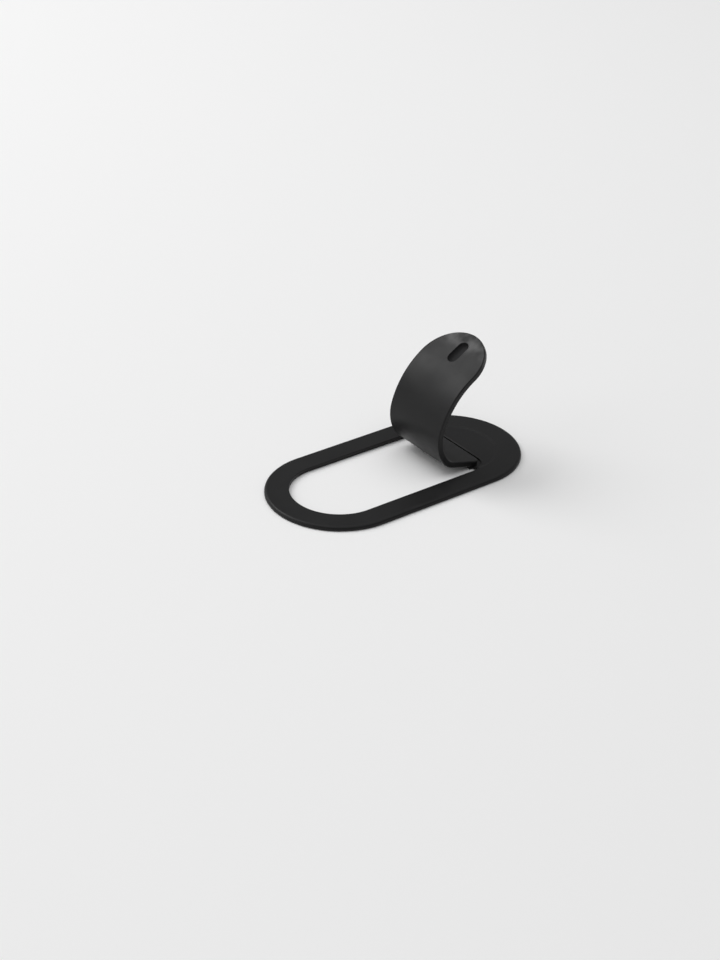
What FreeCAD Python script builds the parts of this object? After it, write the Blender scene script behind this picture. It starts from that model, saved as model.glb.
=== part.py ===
import FreeCAD, Part

import math
import os

from FreeCAD import Vector

# A stick-on phone grip, in millimetres. A flat oblong ring of soft silicone has a strap moulded in one piece
# with it, cut free of the ring on three sides, raised off its root and curled back into a finger loop.
# A die-cut adhesive pad on the underside holds the ring and the strap's root to the device.
# +X runs along the ring towards the strap's root, +Y across it, +Z up from the surface it is stuck to.
# The origin is the ring's centre, on the pad's underside.

# Ring
ring_length = 65.0
ring_width = 33.0
band_width = 5.5
ring_thickness = 0.9
rim_round = 0.5

# Root plate, the floor that fills the ring's opening behind the strap, a little lower than the ring
plate_recess = 0.2
plate_slope_width = 0.8
heel_past_centre = 1.5
slit_setback = 1.9
hinge_groove_width = 0.7
hinge_groove_depth = 0.3

# Strap, from its heel on the plate to its round tip, along the middle of its thickness
strap_gap = 2.0
strap_thickness = 1.4
strap_edge_round = 0.5
heel_corner_round = 2.0
lift_angle = 15.0
lift_run = 8.1
lower_curl_radius = 4.4
lower_curl_turn = 36.0
middle_curl_radius = 9.0
middle_curl_turn = 54.0
upper_curl_radius = 18.6

# Obround recess in the outer face of the strap's flat tip
recess_length = 5.8
recess_width = 2.8
recess_depth = 1.0
recess_from_tip = 2.6

# Adhesive pad
pad_thickness = 0.2
pad_inset = 0.6

# Modelling limits: the most of a wall that the rounding of one edge, or of both its edges, may take,
# and how close counts as equal
one_edge_share = 0.75
both_edges_share = 0.9
tolerance = 1e-4

# Sizes and places that follow from those above
opening_length = ring_length - 2 * band_width
opening_width = ring_width - 2 * band_width
end_centre_x = (ring_length - ring_width) / 2
ring_top = pad_thickness + ring_thickness
plate_top = ring_top - plate_recess
strap_width = opening_width - 2 * strap_gap
heel_x = end_centre_x + heel_past_centre
slit_end_x = heel_x - slit_setback
slit_centre_x = slit_end_x - strap_gap / 2
tip_length = strap_width / 2
# Laid flat, the strap's round tip is concentric with the far end of the opening.
strap_length = heel_x + end_centre_x + tip_length
upper_curl_turn = math.degrees(
    (strap_length - lift_run - tip_length
     - lower_curl_radius * math.radians(lower_curl_turn)
     - middle_curl_radius * math.radians(middle_curl_turn)) / upper_curl_radius)


def obround_wire(length, width, z):
    """Outline of an oblong with full-round ends along X, centred on the origin."""
    radius = width / 2
    reach = (length - width) / 2
    right = Part.Arc(Vector(reach, -radius, z), Vector(reach + radius, 0, z), Vector(reach, radius, z))
    left = Part.Arc(Vector(-reach, radius, z), Vector(-reach - radius, 0, z), Vector(-reach, -radius, z))
    far_side = Part.LineSegment(Vector(reach, radius, z), Vector(-reach, radius, z))
    near_side = Part.LineSegment(Vector(-reach, -radius, z), Vector(reach, -radius, z))
    return Part.Wire([right.toShape(), far_side.toShape(), left.toShape(), near_side.toShape()])


def obround_prism(length, width, bottom, top):
    return Part.Face(obround_wire(length, width, bottom)).extrude(Vector(0, 0, top - bottom))


def ring():
    """Flat ring with its outer top edge rounded and its opening left crisp."""
    body = obround_prism(ring_length, ring_width, pad_thickness, ring_top)
    top_edges = [edge for edge in body.Edges
                 if edge.BoundBox.ZMin > ring_top - tolerance]
    body = body.makeFillet(min(rim_round, one_edge_share * ring_thickness), top_edges)
    return body.cut(obround_prism(opening_length, opening_width, pad_thickness, ring_top))


def root_plate_outline(z):
    """Plan of the root plate: round behind, with a round-ended slit on each side of the strap in front.
    It reaches half way into the ring's band, which it is one with."""
    opening_radius = opening_width / 2
    outer = opening_radius + band_width / 2
    side = strap_width / 2
    slit_middle = (opening_radius + side) / 2
    edges = []
    for sign in (1, -1):
        edges.append(Part.LineSegment(Vector(slit_centre_x, sign * outer, z),
                                      Vector(slit_centre_x, sign * opening_radius, z)))
        edges.append(Part.Arc(Vector(slit_centre_x, sign * opening_radius, z),
                              Vector(slit_end_x, sign * slit_middle, z),
                              Vector(slit_centre_x, sign * side, z)))
        edges.append(Part.LineSegment(Vector(slit_centre_x, sign * outer, z),
                                      Vector(end_centre_x, sign * outer, z)))
    edges.append(Part.LineSegment(Vector(slit_centre_x, side, z), Vector(slit_centre_x, -side, z)))
    edges.append(Part.Arc(Vector(end_centre_x, outer, z), Vector(end_centre_x + outer, 0, z),
                          Vector(end_centre_x, -outer, z)))
    return Part.Wire(Part.__sortEdges__([edge.toShape() for edge in edges]))


def heel_prism(margin, bottom, top):
    """Upright block with the plan of the strap's heel, grown by a margin on its sides, end and corners."""
    side = strap_width / 2 + margin
    end = heel_x + strap_thickness * math.sin(math.radians(lift_angle)) + margin
    block = Part.makeBox(end - slit_centre_x + strap_width, 2 * side, top - bottom,
                         Vector(slit_centre_x - strap_width, -side, bottom))
    corners = [edge for edge in block.Edges
               if edge.BoundBox.XMin > end - tolerance and edge.BoundBox.ZLength > edge.BoundBox.YLength]
    return block.makeFillet(heel_corner_round + margin, corners)


def pocket_wire(radius, z):
    """Plan of the hollow over the root plate: half round behind, running out past the slits in front."""
    front = slit_centre_x - strap_gap
    edges = [
        Part.Arc(Vector(end_centre_x, -radius, z), Vector(end_centre_x + radius, 0, z),
                 Vector(end_centre_x, radius, z)),
        Part.LineSegment(Vector(end_centre_x, radius, z), Vector(front, radius, z)),
        Part.LineSegment(Vector(front, radius, z), Vector(front, -radius, z)),
        Part.LineSegment(Vector(front, -radius, z), Vector(end_centre_x, -radius, z))]
    return Part.Wire([edge.toShape() for edge in edges])


def root_pocket():
    """Hollow that sinks the root plate below the ring's top, with a soft slope round its edge."""
    rim_radius = opening_width / 2
    foot = pocket_wire(rim_radius - plate_slope_width, plate_top)
    rim = pocket_wire(rim_radius, ring_top)
    return Part.makeLoft([foot, rim], True, True)


def root_plate():
    """Root plate with the hinge groove that runs round the strap's heel into both slits."""
    plate = Part.Face(root_plate_outline(pad_thickness)).extrude(Vector(0, 0, ring_top - pad_thickness))
    plate = plate.cut(root_pocket())
    groove_floor = plate_top - hinge_groove_depth
    groove = heel_prism(hinge_groove_width, groove_floor, ring_top)
    groove = groove.cut(heel_prism(0, groove_floor, ring_top))
    return plate.cut(groove)


def station_ahead(station, distance):
    """Point and heading on the mid-line after a straight run."""
    point, heading = station
    run = math.radians(heading)
    return point + Vector(math.cos(run), 0, math.sin(run)) * distance, heading


def station_after(station, radius, turn):
    """Point and heading on the mid-line after a clockwise arc."""
    point, heading = station
    start = math.radians(heading + 90)
    end = math.radians(heading + 90 - turn)
    centre = point - Vector(math.cos(start), 0, math.sin(start)) * radius
    return centre + Vector(math.cos(end), 0, math.sin(end)) * radius, heading - turn


def beside(station, offset):
    """Point beside the mid-line, on the inside of the curl for a positive offset."""
    point, heading = station
    inward = math.radians(heading - 90)
    return point + Vector(math.cos(inward), 0, math.sin(inward)) * offset


def heel_station():
    """Start of the mid-line: the underside starts at the mounting surface, below the heel."""
    heading = 180 - lift_angle
    return beside((Vector(heel_x, 0, 0), heading), strap_thickness / 2), heading


def strap_stations():
    """Stations where the lift, the lower, the middle and the upper curl and the flat tip begin."""
    heel = heel_station()
    lower = station_ahead(heel, lift_run)
    middle = station_after(lower, lower_curl_radius, lower_curl_turn)
    upper = station_after(middle, middle_curl_radius, middle_curl_turn)
    tip = station_after(upper, upper_curl_radius, upper_curl_turn)
    return heel, lower, middle, upper, tip


def curl_edge(start, radius, turn, offset):
    """Arc beside one curl of the mid-line."""
    half_way = station_after(start, radius, turn / 2)
    end = station_after(start, radius, turn)
    return Part.Arc(beside(start, offset), beside(half_way, offset), beside(end, offset)).toShape()


def at_heel(edge):
    """True for the edges round the strap's heel end, which lies flat under the curl."""
    box = edge.BoundBox
    return box.XMin > heel_x - tolerance and box.ZMin < strap_thickness


def curled_strap(heel, lower, middle, upper, tip):
    """Strap from its heel to the flat tip: a straight lift off the plate, then three curls that open out."""
    half = strap_thickness / 2
    edges = []
    for offset in (-half, half):
        edges.append(Part.LineSegment(beside(heel, offset), beside(lower, offset)).toShape())
        edges.append(curl_edge(lower, lower_curl_radius, lower_curl_turn, offset))
        edges.append(curl_edge(middle, middle_curl_radius, middle_curl_turn, offset))
        edges.append(curl_edge(upper, upper_curl_radius, upper_curl_turn, offset))
    for end in (heel, tip):
        edges.append(Part.LineSegment(beside(end, -half), beside(end, half)).toShape())
    profile = Part.Face(Part.Wire(Part.__sortEdges__(edges)))
    profile.translate(Vector(0, -strap_width / 2, 0))
    body = profile.extrude(Vector(0, strap_width, 0))
    heel_corners = [edge for edge in body.Edges if at_heel(edge) and edge.BoundBox.YLength < tolerance]
    return body.makeFillet(heel_corner_round, heel_corners)


def stand_on(shape, station):
    """Turns a shape made round the origin so that X runs along the strap and Z out of its outer face."""
    point, heading = station
    placed = shape.copy()
    placed.rotate(Vector(0, 0, 0), Vector(0, 1, 0), -heading)
    placed.translate(point)
    return placed


def flat_tip(tip):
    """Flat end of the strap, a half disc as wide as the strap."""
    disc = Part.makeCylinder(strap_width / 2, strap_thickness, Vector(0, 0, -strap_thickness / 2),
                             Vector(0, 0, 1), 180)
    disc.rotate(Vector(0, 0, 0), Vector(0, 0, 1), -90)
    return stand_on(disc, tip)


def tip_recess(mouth):
    """Cutter for the obround recess, as deep as the recess and open past the outer face."""
    bottom = strap_thickness / 2 - recess_depth
    cutter = obround_prism(recess_length, recess_width, bottom, bottom + strap_thickness)
    return stand_on(cutter, mouth)


def on_rim(edge):
    """True for the outer edges of the strap's two faces, not for seams across them or edges between them."""
    box = edge.BoundBox
    across = box.XLength < tolerance and not at_heel(edge)
    between_faces = box.YLength < tolerance and abs(edge.Length - strap_thickness) < tolerance
    return not across and not between_faces


def strap():
    """Whole strap with its rim rounded on both faces and the recess cut in the outer one."""
    stations = strap_stations()
    tip = stations[-1]
    body = curled_strap(*stations).fuse(flat_tip(tip)).removeSplitter()
    rim = [edge for edge in body.Edges if on_rim(edge)]
    body = body.makeFillet(min(strap_edge_round, both_edges_share * strap_thickness / 2), rim)
    mouth = station_ahead(tip, tip_length - recess_from_tip - recess_length / 2)
    return body.cut(tip_recess(mouth))


def silicone_grip():
    """Ring, root plate and strap as the one moulding, flat underneath."""
    below = Part.makeBox(ring_length, ring_width, strap_thickness + pad_thickness,
                         Vector(-ring_length / 2, -ring_width / 2, -strap_thickness))
    return ring().fuse([root_plate(), strap().cut(below)]).removeSplitter()


def adhesive_pad():
    """Pad under the ring and the root plate, set in from every edge of the silicone."""
    pad = obround_prism(ring_length - 2 * pad_inset, ring_width - 2 * pad_inset, 0, pad_thickness)
    opening = obround_prism(opening_length + 2 * pad_inset, opening_width + 2 * pad_inset, 0, pad_thickness)
    free_length = slit_end_x + pad_inset + ring_length / 2
    free_corner = Vector(-ring_length / 2, -ring_width / 2, 0)
    free_end = Part.makeBox(free_length, ring_width, pad_thickness, free_corner)
    return pad.cut(opening.common(free_end))


os.makedirs("parts", exist_ok=True)
for node, make in (("silicone_grip", silicone_grip), ("adhesive_pad", adhesive_pad)):
    shape = make()
    box = shape.optimalBoundingBox()
    print(f"{node}: {len(shape.Solids)} solid, valid {shape.isValid()}, {shape.Volume:.1f} mm3, "
          f"x {box.XMin:.2f} to {box.XMax:.2f}, y {box.YMin:.2f} to {box.YMax:.2f}, "
          f"z {box.ZMin:.2f} to {box.ZMax:.2f}")
    shape.exportStep(f"parts/{node}.step")
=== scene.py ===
import math

import bmesh
import bpy
from mathutils import Matrix, Vector


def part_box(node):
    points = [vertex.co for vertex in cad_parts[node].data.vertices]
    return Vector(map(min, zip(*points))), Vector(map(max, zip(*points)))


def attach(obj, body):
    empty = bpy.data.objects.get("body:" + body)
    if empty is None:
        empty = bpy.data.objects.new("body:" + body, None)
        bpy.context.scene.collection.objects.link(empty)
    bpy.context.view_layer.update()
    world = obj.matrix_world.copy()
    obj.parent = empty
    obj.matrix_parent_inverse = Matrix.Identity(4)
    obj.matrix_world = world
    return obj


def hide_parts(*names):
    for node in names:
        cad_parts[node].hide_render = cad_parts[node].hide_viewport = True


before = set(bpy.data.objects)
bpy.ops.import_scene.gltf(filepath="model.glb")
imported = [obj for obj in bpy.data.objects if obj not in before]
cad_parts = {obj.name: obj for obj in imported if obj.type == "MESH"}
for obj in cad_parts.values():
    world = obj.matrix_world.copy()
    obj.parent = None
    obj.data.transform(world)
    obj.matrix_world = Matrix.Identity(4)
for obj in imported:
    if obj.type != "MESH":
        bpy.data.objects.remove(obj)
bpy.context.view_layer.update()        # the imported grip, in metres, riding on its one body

mm = 0.001               # the grip is modelled in millimetres and brought to metres when it is done
weld = 1e-4              # points closer than this, in millimetres, are merged
facing = 0.9             # a face looks along an axis if its normal reaches further than this along it
sharpFold = 60           # edges that fold by more than this, in degrees, are rounded
cutMargin = 1.0          # how far a cutting tool reaches past the faces it cuts, in millimetres


# small helpers for working in edit mode

def clearSelection():
    bpy.ops.object.select_all(action="DESELECT")


def makeActive(piece):               # the one selected object, for the operators that follow
    clearSelection()
    piece.select_set(True)
    bpy.context.view_layer.objects.active = piece


def applyPlace():                    # puts the active object's place, turn and scale into its mesh
    bpy.ops.object.transform_apply(location=True, rotation=True, scale=True)


def addBlock(name, low, high):       # a cube stretched between two corners, left open for editing
    clearSelection()
    low, high = Vector(low), Vector(high)
    bpy.ops.mesh.primitive_cube_add(size=1, location=(low + high) / 2, scale=high - low)
    applyPlace()
    block = bpy.context.object
    block.name = name
    bpy.ops.object.mode_set(mode="EDIT")
    return block


def pick(kind, test):                # selects the edges or faces that pass the test
    bpy.ops.mesh.select_mode(type=kind)
    bpy.ops.mesh.select_all(action="DESELECT")
    mesh = bmesh.from_edit_mesh(bpy.context.object.data)
    parts = {"EDGE": mesh.edges, "FACE": mesh.faces}[kind]
    for part in parts:
        if test(part):
            part.select_set(True)
    bmesh.update_edit_mesh(bpy.context.object.data)


def middle(edge):
    return (edge.verts[0].co + edge.verts[1].co) / 2


def isUpright(edge):
    run = edge.verts[1].co - edge.verts[0].co
    return abs(run.z) > weld and abs(run.x) < weld and abs(run.y) < weld


def isSharp(edge):
    return math.degrees(edge.calc_face_angle(0)) > sharpFold


def roundOff(test, radius, steps):   # bevels the chosen edges into arcs
    pick("EDGE", test)
    bpy.ops.mesh.bevel(offset=radius, segments=steps, profile=0.5, affect="EDGES", clamp_overlap=False)


def mergeDoubles():
    bpy.ops.mesh.select_all(action="SELECT")
    bpy.ops.mesh.remove_doubles(threshold=weld)


def closeBlock():                    # welds, turns the faces outwards and leaves edit mode
    mergeDoubles()
    bpy.ops.mesh.dissolve_degenerate(threshold=weld)
    bpy.ops.mesh.select_all(action="SELECT")
    bpy.ops.mesh.normals_make_consistent(inside=False)
    bpy.ops.object.mode_set(mode="OBJECT")


def applyModifier(piece, modifier):
    makeActive(piece)
    bpy.ops.object.modifier_apply(modifier=modifier.name)


def combine(piece, tool, operation):    # boolean with a tool block, which is used up
    cut = piece.modifiers.new(tool.name, "BOOLEAN")
    cut.operation = operation
    cut.solver = "EXACT"
    cut.object = tool
    applyModifier(piece, cut)
    bpy.data.objects.remove(tool)


def soften(test, radius, steps):     # rounds sharp edges, by their place, on the piece that was cut last
    bpy.ops.object.mode_set(mode="EDIT")
    roundOff(lambda edge: isSharp(edge) and test(middle(edge)), radius, steps)
    closeBlock()


# silicone grip: ring, root plate and curled strap as one moulding

gripShape = {                        # millimetres and degrees
    "bandWidth": 5.5,                # ring
    "ringThickness": 0.9,
    "rimRound": 0.7,
    "plateRecess": 0.2,              # root plate behind the strap, a little lower than the ring
    "plateSlope": 0.8,
    "heelPastCentre": 1.5,           # from the centre of the ring's round end
    "slitSetback": 1.9,
    "grooveWidth": 0.9,              # hinge groove round the strap's heel
    "grooveDepth": 0.45,
    "grooveUndercut": 0.1,
    "grooveRound": 0.28,             # of its rim on the plate
    "strapGap": 2.0,                 # strap, and its gap to the ring on either side
    "strapThickness": 1.4,
    "strapEdgeRound": 0.28,
    "heelCornerRound": 2.0,
    "liftAngle": 15.0,
    "liftRun": 8.1,
    "curls": ((4.4, 36.0, 12), (9.0, 54.0, 18), (18.6, None, 20)),    # radius, turn, steps
    "heelSink": 0.2,                 # how high above the pad the sunken heel is cut off
    "recessLength": 5.8,             # recess in the tip
    "recessWidth": 2.8,
    "recessDepth": 1.0,
    "recessFromTip": 2.6,
    "recessRound": 0.6,              # where its walls run into its floor
    "endSteps": 32,                  # steps in a quarter of a large round end
    "cornerSteps": 10,
    "edgeSteps": 10,
    "crispEdge": 0.12,               # slight softness of the edges round the opening and the recess
    "smoothAngle": 12,               # steeper folds than this, such as the plate's slope, show as edges
}

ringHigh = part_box("silicone_grip")[1] / mm
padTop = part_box("adhesive_pad")[1].z / mm


def gripPlan(shape):                 # places that follow from the box and the sizes above
    plan = {}
    plan["halfLength"] = ringHigh.x
    plan["halfWidth"] = ringHigh.y
    plan["openRadius"] = plan["halfWidth"] - shape["bandWidth"]
    plan["endCentre"] = plan["halfLength"] - plan["halfWidth"]
    plan["ringTop"] = padTop + shape["ringThickness"]
    plan["plateTop"] = plan["ringTop"] - shape["plateRecess"]
    plan["strapHalf"] = plan["openRadius"] - shape["strapGap"]
    plan["heelX"] = plan["endCentre"] + shape["heelPastCentre"]
    plan["slitCentre"] = plan["heelX"] - shape["slitSetback"] - shape["strapGap"] / 2
    return plan


def addOpening(shape, plan):         # free opening with its two round-ended slits beside the strap
    radius, end = plan["openRadius"], plan["slitCentre"]
    low, high = padTop - cutMargin, plan["ringTop"] + cutMargin
    tool = addBlock("opening", (-plan["endCentre"] - radius, -radius, low), (end, radius, high))
    roundOff(lambda edge: isUpright(edge) and middle(edge).x < 0, radius, shape["endSteps"])
    for side in (1, -1):
        bpy.ops.mesh.select_all(action="SELECT")
        bpy.ops.mesh.bisect(plane_co=(0, side * plan["strapHalf"], 0), plane_no=(0, 1, 0))
    pick("FACE", lambda face: face.normal.x > facing
         and abs(face.calc_center_median().y) > plan["strapHalf"])
    half = shape["strapGap"] / 2
    bpy.ops.mesh.extrude_region_move(TRANSFORM_OT_translate={"value": (half, 0, 0)})
    roundOff(lambda edge: isUpright(edge) and middle(edge).x > end + weld, half, shape["cornerSteps"])
    closeBlock()
    return tool


def addPocket(shape, plan):          # shallow hollow over the root plate, with a soft slope round it
    overshoot = 2                    # times the hollow's depth: the tool's slope runs on past the ring's top
    foot = plan["openRadius"] - shape["plateSlope"]
    top = plan["plateTop"] + overshoot * shape["plateRecess"]
    front = plan["slitCentre"] - shape["strapGap"]
    tool = addBlock("pocket", (front, -foot, plan["plateTop"]), (plan["endCentre"] + foot, foot, top))
    roundOff(lambda edge: isUpright(edge) and middle(edge).x > front + weld, foot, shape["endSteps"])
    pick("FACE", lambda face: face.normal.z > facing)
    spread = (foot + overshoot * shape["plateSlope"]) / foot
    bpy.ops.transform.resize(value=(spread, spread, 1), center_override=(plan["endCentre"], 0, top))
    closeBlock()
    return tool


def addGroove(shape, plan):          # channel that runs round the heel and out into both slits
    width = shape["grooveWidth"]
    heelLean = shape["strapThickness"] * math.sin(math.radians(shape["liftAngle"]))
    end = plan["heelX"] + heelLean + width
    side = plan["strapHalf"] + width
    low = plan["plateTop"] - shape["grooveDepth"]
    front = plan["slitCentre"] - 2 * plan["strapHalf"]    # well out in the opening, where nothing is cut
    tool = addBlock("groove", (front, -side, low), (end, side, plan["ringTop"] + cutMargin))
    roundOff(lambda edge: isUpright(edge) and middle(edge).x > front + weld,
             shape["heelCornerRound"] + width, shape["cornerSteps"])
    pick("FACE", lambda face: abs(face.normal.z) > facing)
    bpy.ops.mesh.inset(thickness=width + shape["grooveUndercut"])
    bpy.ops.mesh.bridge_edge_loops()
    closeBlock()
    return tool


def ahead(station, distance):        # along the strap's mid-line, in its own plane
    x, z, heading = station
    return x + distance * math.cos(heading), z + distance * math.sin(heading), heading


def curlCentre(station, radius):     # on the inside of the curl, to the right of the heading
    x, z, heading = station
    return x + radius * math.sin(heading), z - radius * math.cos(heading)


def pastCurl(station, radius, turn):
    centreX, centreZ = curlCentre(station, radius)
    heading = station[2] - turn
    return centreX - radius * math.sin(heading), centreZ + radius * math.cos(heading), heading


def strapCurls(shape, plan):         # radius, turn in radians, steps and start; the last takes the rest
    left = plan["heelX"] + plan["endCentre"] - shape["liftRun"]
    station = (shape["liftRun"], 0, 0)
    curls = []
    for radius, turn, steps in shape["curls"]:
        angle = left / radius if turn is None else math.radians(turn)
        left -= radius * angle
        curls.append((radius, angle, steps, station))
        station = pastCurl(station, radius, angle)
    return curls, station


def strapPlace(shape, plan):         # onto the plate, with the underside's heel at the mounting face
    lift = math.radians(180 - shape["liftAngle"])
    half = shape["strapThickness"] / 2
    heel = Vector((plan["heelX"] + half * math.sin(lift), 0, -half * math.cos(lift)))
    return Matrix.Translation(heel) @ Matrix.Rotation(-lift, 4, "Y")


def recessPlace(shape, plan):        # middle of the recess on the strap's mid-line, in the strap's own frame
    tip = strapCurls(shape, plan)[1]
    x, z, heading = ahead(tip, plan["strapHalf"] - shape["recessFromTip"] - shape["recessLength"] / 2)
    return Matrix.Translation((x, 0, z)) @ Matrix.Rotation(-heading, 4, "Y")


def addRecess(shape, plan):          # round-ended slot in the outer face of the tip
    halfLength, halfWidth = shape["recessLength"] / 2, shape["recessWidth"] / 2
    face = shape["strapThickness"] / 2
    floor = face - shape["recessDepth"]
    tool = addBlock("recess", (-halfLength, -halfWidth, floor), (halfLength, halfWidth, face + cutMargin))
    roundOff(isUpright, halfWidth, shape["cornerSteps"])
    mergeDoubles()
    roundOff(lambda edge: middle(edge).z < floor + weld, shape["recessRound"], shape["edgeSteps"])
    closeBlock()
    tool.matrix_world = recessPlace(shape, plan)
    return tool


def addStrap(shape, plan):           # made lying along X from its heel, outer face up, then set in place
    half, side = shape["strapThickness"] / 2, plan["strapHalf"]
    curls, tip = strapCurls(shape, plan)
    strap = addBlock("strap", (0, -side, -half), (shape["liftRun"], side, half))
    roundOff(lambda edge: isUpright(edge) and middle(edge).x < weld,
             shape["heelCornerRound"], shape["cornerSteps"])
    pick("FACE", lambda face: face.normal.x > facing and face.calc_center_median().x > weld)
    for radius, angle, steps, start in curls:
        centreX, centreZ = curlCentre(start, radius)
        bpy.ops.mesh.spin(steps=steps, angle=-angle, center=(centreX, 0, centreZ), axis=(0, 1, 0))
    tipX, tipZ, heading = ahead(tip, side)
    bpy.ops.mesh.extrude_region_move(TRANSFORM_OT_translate={"value": (tipX - tip[0], 0, tipZ - tip[1])})
    along = Vector((math.cos(heading), 0, math.sin(heading)))
    tipEnd = Vector((tipX, 0, tipZ))
    roundOff(lambda edge: abs(edge.verts[0].co.y - edge.verts[1].co.y) < weld
             and abs((middle(edge) - tipEnd).dot(along)) < weld, side, shape["endSteps"])
    mergeDoubles()
    roundOff(isSharp, shape["strapEdgeRound"], shape["edgeSteps"])
    closeBlock()
    combine(strap, addRecess(shape, plan), "DIFFERENCE")
    soften(lambda place: True, shape["crispEdge"], shape["edgeSteps"])
    strap.matrix_world = strapPlace(shape, plan)
    makeActive(strap)
    applyPlace()
    bpy.ops.object.mode_set(mode="EDIT")
    bpy.ops.mesh.select_all(action="SELECT")
    bpy.ops.mesh.bisect(plane_co=(0, 0, padTop + shape["heelSink"]), plane_no=(0, 0, 1),
                        use_fill=True, clear_inner=True)
    closeBlock()
    return strap


def makeGrip(shape):
    plan = gripPlan(shape)
    grip = addBlock("siliconeGrip", (-plan["halfLength"], -plan["halfWidth"], padTop),
                    (plan["halfLength"], plan["halfWidth"], plan["ringTop"]))
    roundOff(isUpright, plan["halfWidth"], shape["endSteps"])
    mergeDoubles()
    roundOff(lambda edge: isSharp(edge) and middle(edge).z > plan["ringTop"] - weld,
             shape["rimRound"], shape["edgeSteps"])
    closeBlock()
    combine(grip, addOpening(shape, plan), "DIFFERENCE")
    soften(lambda place: place.z > plan["ringTop"] - weld, shape["crispEdge"], shape["edgeSteps"])
    combine(grip, addPocket(shape, plan), "DIFFERENCE")
    combine(grip, addGroove(shape, plan), "DIFFERENCE")
    side = plan["strapHalf"] + shape["grooveWidth"]
    soften(lambda place: abs(place.z - plan["plateTop"]) < weld and place.x > plan["slitCentre"]
           and abs(place.y) < side + weld, shape["grooveRound"], shape["edgeSteps"])
    combine(grip, addStrap(shape, plan), "UNION")
    bpy.ops.object.mode_set(mode="EDIT")
    closeBlock()
    grip.scale = (mm, mm, mm)
    applyPlace()
    bpy.ops.object.shade_smooth_by_angle(angle=math.radians(shape["smoothAngle"]))
    even = grip.modifiers.new("evenShading", "WEIGHTED_NORMAL")
    even.keep_sharp = True
    applyModifier(grip, even)
    return grip


grip = makeGrip(gripShape)
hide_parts("silicone_grip")
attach(grip, "root")
print("grip modelled:", len(grip.data.polygons), "faces")


# finishes

def addNoise(tree, detail, roughness, scale=1.0):
    noise = tree.nodes.new("ShaderNodeTexNoise")
    noise.inputs["Detail"].default_value = detail
    noise.inputs["Roughness"].default_value = roughness
    noise.inputs["Scale"].default_value = scale
    return noise


def addRange(tree, source, target):  # carries one span of values over to another
    span = tree.nodes.new("ShaderNodeMapRange")
    span.inputs["From Min"].default_value, span.inputs["From Max"].default_value = source
    span.inputs["To Min"].default_value, span.inputs["To Max"].default_value = target
    return span


def makeGrain():                     # shared: fine moulded grain and a broad, faint mottle
    group = bpy.data.node_groups.new("surfaceGrain", "ShaderNodeTree")
    for name, kind in (("Vector", "NodeSocketVector"), ("Grain Scale", "NodeSocketFloat"),
                       ("Mottle Scale", "NodeSocketFloat")):
        group.interface.new_socket(name=name, in_out="INPUT", socket_type=kind)
    for name in ("Grain", "Mottle"):
        group.interface.new_socket(name=name, in_out="OUTPUT", socket_type="NodeSocketFloat")
    entry = group.nodes.new("NodeGroupInput")
    leave = group.nodes.new("NodeGroupOutput")
    fine = addNoise(group, detail=3.0, roughness=0.6)
    broad = addNoise(group, detail=4.0, roughness=0.55)
    link = group.links.new
    link(entry.outputs["Vector"], fine.inputs["Vector"])
    link(entry.outputs["Vector"], broad.inputs["Vector"])
    link(entry.outputs["Grain Scale"], fine.inputs["Scale"])
    link(entry.outputs["Mottle Scale"], broad.inputs["Scale"])
    link(fine.outputs["Fac"], leave.inputs["Grain"])
    link(broad.outputs["Fac"], leave.inputs["Mottle"])
    return group


surfaceGrain = makeGrain()
mottleSpan = (0.3, 0.7)              # most of the mottle's values lie between these

siliconeFinish = {
    "dark": (0.0085, 0.0085, 0.0088, 1),
    "light": (0.0120, 0.0120, 0.0124, 1),
    "roughness": (0.36, 0.52),
    "specular": 0.22,
    "grainScale": 6500.0,            # per metre
    "mottleScale": 130.0,
    "grainHeight": 0.000004,         # metres
    "swellHeight": 0.0005,
    "swellScale": (90.0, 22.0, 90.0),    # the swell runs across the strap
    "sheenAlong": (0.854, 0.0, 0.521),   # direction in which the tip points
    "sheenReach": (0.0270, 0.0320),  # metres along it over which the sheen of handling comes in
    "sheenScale": 230.0,
    "sheenShift": (0.0, -0.002, 0.0),
    "sheenPatches": (0.38, 0.64),    # noise values where a patch begins and where it is full
    "sheenWeight": 0.85,
    "sheenRoughness": 0.32,
}

recessPaintedFillFinish = {                     # the recess's floor and walls, left duller by the mould, with a colour lighter than the silicone's: painted light that lifts the shade in the recess
    "dark": (0.0280, 0.0280, 0.0288, 1),
    "light": (0.0360, 0.0360, 0.0370, 1),
    "roughness": (0.62, 0.74),
    "specular": 0.04,
    "grainScale": 6500.0,
    "mottleScale": 400.0,
    "grainHeight": 0.000006,
}

tapeFinish = {
    "dark": (0.055, 0.055, 0.060, 1),
    "light": (0.100, 0.100, 0.106, 1),
    "roughness": (0.38, 0.55),
    "specular": 0.45,
    "grainScale": 2600.0,
    "mottleScale": 420.0,
    "grainHeight": 0.000003,
}


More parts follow.
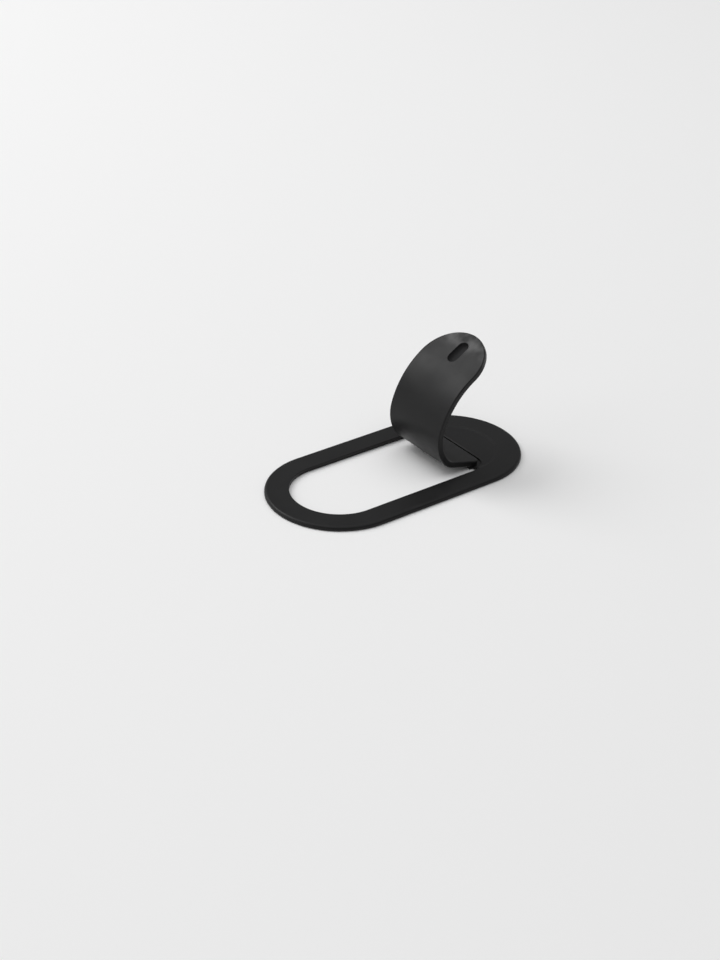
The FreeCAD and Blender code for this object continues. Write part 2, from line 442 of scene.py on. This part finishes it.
def addSheen(tree, place, shader, finish):      # patchy gloss towards the tip, where fingers pull it
    link = tree.links.new
    shader.inputs["Coat Roughness"].default_value = finish["sheenRoughness"]
    reach = tree.nodes.new("ShaderNodeVectorMath")
    reach.operation = "DOT_PRODUCT"
    reach.inputs[1].default_value = finish["sheenAlong"]
    link(place.outputs["Object"], reach.inputs[0])
    near = addRange(tree, finish["sheenReach"], (0.0, finish["sheenWeight"]))
    near.interpolation_type = "SMOOTHSTEP"
    link(reach.outputs["Value"], near.inputs["Value"])
    shift = tree.nodes.new("ShaderNodeMapping")
    shift.inputs["Location"].default_value = finish["sheenShift"]
    link(place.outputs["Object"], shift.inputs["Vector"])
    patch = addNoise(tree, detail=2.0, roughness=0.5, scale=finish["sheenScale"])
    link(shift.outputs["Vector"], patch.inputs["Vector"])
    patchy = addRange(tree, finish["sheenPatches"], (0.0, 1.0))
    link(patch.outputs["Fac"], patchy.inputs["Value"])
    share = tree.nodes.new("ShaderNodeMath")
    share.operation = "MULTIPLY"
    link(near.outputs["Result"], share.inputs[0])
    link(patchy.outputs["Result"], share.inputs[1])
    link(share.outputs["Value"], shader.inputs["Coat Weight"])


def addSwell(tree, place, height, finish):      # slight unevenness of a soft moulding, in the gloss only
    link = tree.links.new
    spread = tree.nodes.new("ShaderNodeMapping")
    spread.inputs["Scale"].default_value = finish["swellScale"]
    link(place.outputs["Object"], spread.inputs["Vector"])
    swell = addNoise(tree, detail=1.0, roughness=0.4)
    link(spread.outputs["Vector"], swell.inputs["Vector"])
    rise = tree.nodes.new("ShaderNodeMath")
    rise.operation = "MULTIPLY"
    rise.inputs[1].default_value = finish["swellHeight"]
    link(swell.outputs["Fac"], rise.inputs[0])
    link(rise.outputs["Value"], height)


def makeFinish(name, finish):        # colour, roughness and relief all follow the shared grain
    material = bpy.data.materials.new(name)
    material.use_nodes = True
    tree = material.node_tree
    link = tree.links.new
    shader = tree.nodes["Principled BSDF"]
    shader.inputs["Specular IOR Level"].default_value = finish["specular"]
    place = tree.nodes.new("ShaderNodeTexCoord")
    grain = tree.nodes.new("ShaderNodeGroup")
    grain.node_tree = surfaceGrain
    grain.inputs["Grain Scale"].default_value = finish["grainScale"]
    grain.inputs["Mottle Scale"].default_value = finish["mottleScale"]
    link(place.outputs["Object"], grain.inputs["Vector"])
    tint = tree.nodes.new("ShaderNodeValToRGB")
    stops = zip(tint.color_ramp.elements, mottleSpan, (finish["dark"], finish["light"]))
    for stop, position, colour in stops:
        stop.position = position
        stop.color = colour
    link(grain.outputs["Mottle"], tint.inputs["Fac"])
    link(tint.outputs["Color"], shader.inputs["Base Color"])
    gloss = addRange(tree, mottleSpan, finish["roughness"])
    link(grain.outputs["Mottle"], gloss.inputs["Value"])
    link(gloss.outputs["Result"], shader.inputs["Roughness"])
    if "sheenWeight" in finish:
        addSheen(tree, place, shader, finish)
    height = tree.nodes.new("ShaderNodeMath")       # grain in its first two sockets, swell in the third
    height.operation = "MULTIPLY_ADD"
    height.inputs[1].default_value = finish["grainHeight"]
    height.inputs[2].default_value = 0.0
    link(grain.outputs["Grain"], height.inputs[0])
    if "swellHeight" in finish:
        addSwell(tree, place, height.inputs[2], finish)
    relief = tree.nodes.new("ShaderNodeBump")
    relief.inputs["Strength"].default_value = 1.0
    relief.inputs["Distance"].default_value = 1.0   # the heights above are in metres already
    link(height.outputs["Value"], relief.inputs["Height"])
    link(relief.outputs["Normal"], shader.inputs["Normal"])
    return material


def pickRecess(shape):               # the faces of the recess, below the face of the strap's tip
    plan = gripPlan(shape)
    inside = (strapPlace(shape, plan) @ recessPlace(shape, plan)).inverted()
    halfLength, halfWidth = shape["recessLength"] / 2 + weld, shape["recessWidth"] / 2 + weld
    mouth = shape["strapThickness"] / 2 - shape["crispEdge"]
    floor = mouth - shape["recessDepth"]

    def inRecess(face):
        x, y, z = inside @ (face.calc_center_median() / mm)
        return abs(x) < halfLength and abs(y) < halfWidth and floor < z < mouth
    pick("FACE", inRecess)


grip.data.materials.clear()
grip.data.materials.append(makeFinish("mattSilicone", siliconeFinish))
# a lighter copy of the silicone for the recess: painted light against the recess's shade
grip.data.materials.append(makeFinish("recessSiliconePaintedFill", recessPaintedFillFinish))
bpy.ops.object.mode_set(mode="EDIT")
pickRecess(gripShape)
grip.active_material_index = 1
bpy.ops.object.material_slot_assign()
bpy.ops.object.mode_set(mode="OBJECT")
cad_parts["adhesive_pad"].material_slots[0].material = makeFinish("filmTape", tapeFinish)
print("finishes set, recess faces:", sum(face.material_index == 1 for face in grip.data.polygons))


# stage

stageLook = {                        # sizes and distances in metres
    "floorSize": 4.0,
    "floorColour": (0.94, 0.94, 0.94, 1),
    "floorRoughness": 0.9,
    "worldColour": (1.0, 1.0, 1.0, 1),
    "worldStrength": 0.28,
    "softboxes": (                   # name, direction from the grip, distance, size, brightness
        ("backSoftbox", (-0.32, 0.66, 0.68), 1.40, 0.90, 3.4),
        ("topSoftbox", (0.08, 0.00, 1.00), 1.50, 2.20, 0.75),
        ("leftSoftbox", (-0.90, 0.35, 0.40), 1.40, 1.00, 0.8),
    ),
}


def makeFloor(look):
    clearSelection()
    bpy.ops.mesh.primitive_plane_add(size=look["floorSize"], location=(0, 0, 0))
    floor = bpy.context.object
    floor.name = "paleFloor"
    material = bpy.data.materials.new("paleFloor")
    material.use_nodes = True
    shader = material.node_tree.nodes["Principled BSDF"]
    shader.inputs["Base Color"].default_value = look["floorColour"]
    shader.inputs["Roughness"].default_value = look["floorRoughness"]
    shader.inputs["Specular IOR Level"].default_value = 0.0
    floor.data.materials.append(material)


def makeWorld(look):
    world = bpy.data.worlds.new("studio")
    world.use_nodes = True
    background = world.node_tree.nodes["Background"]
    background.inputs["Color"].default_value = look["worldColour"]
    background.inputs["Strength"].default_value = look["worldStrength"]
    bpy.context.scene.world = world


def addSoftbox(name, direction, distance, size, brightness):
    towards = Vector(direction).normalized()
    clearSelection()
    bpy.ops.object.light_add(type="AREA", location=towards * distance)
    lamp = bpy.context.object
    lamp.name = name
    lamp.rotation_euler = towards.to_track_quat("Z", "Y").to_euler()
    lamp.data.shape = "SQUARE"
    lamp.data.size = size
    lamp.data.energy = brightness * math.pi * size * size    # watts; its face is as bright at any size


makeFloor(stageLook)
makeWorld(stageLook)
for softbox in stageLook["softboxes"]:
    addSoftbox(*softbox)
print("stage set")


# camera

viewFit = {                          # fitted to the picture, 720 by 960 pixels
    "azimuth": -37.315,              # degrees
    "elevation": 30.682,
    "roll": 1.518,
    "distance": 408.850,             # millimetres from the origin, along the line of sight
    "right": 8.002,                  # how far the origin lies right of and above the picture's middle
    "up": 1.864,
    "focalLength": 1796.487,         # pixels
    "imageHeight": 960,
    "sensor": 36.0,                  # along the picture's height, in millimetres
    "nearest": 10.0,                 # what is closer to the camera than this isn't drawn
}


def makeCamera(fit):
    azimuth, elevation, roll = (math.radians(fit[key]) for key in ("azimuth", "elevation", "roll"))
    back = Vector((math.sin(azimuth) * math.cos(elevation),
                   -math.cos(azimuth) * math.cos(elevation), math.sin(elevation)))
    level = Vector((math.cos(azimuth), math.sin(azimuth), 0))
    rise = back.cross(level)
    right = level * math.cos(roll) + rise * math.sin(roll)
    up = rise * math.cos(roll) - level * math.sin(roll)
    place = (back * fit["distance"] - right * fit["right"] - up * fit["up"]) * mm
    bpy.ops.object.camera_add()
    camera = bpy.context.object
    camera.name = "mainCamera"
    turn = Matrix((right, up, back)).transposed()
    camera.matrix_world = Matrix.Translation(place) @ turn.to_4x4()
    camera.data.sensor_width = fit["sensor"]
    camera.data.lens = fit["focalLength"] * fit["sensor"] / fit["imageHeight"]
    camera.data.clip_start = fit["nearest"] * mm
    bpy.context.scene.camera = camera


makeCamera(viewFit)
bpy.context.scene.view_settings.view_transform = "Standard"
print("camera set")
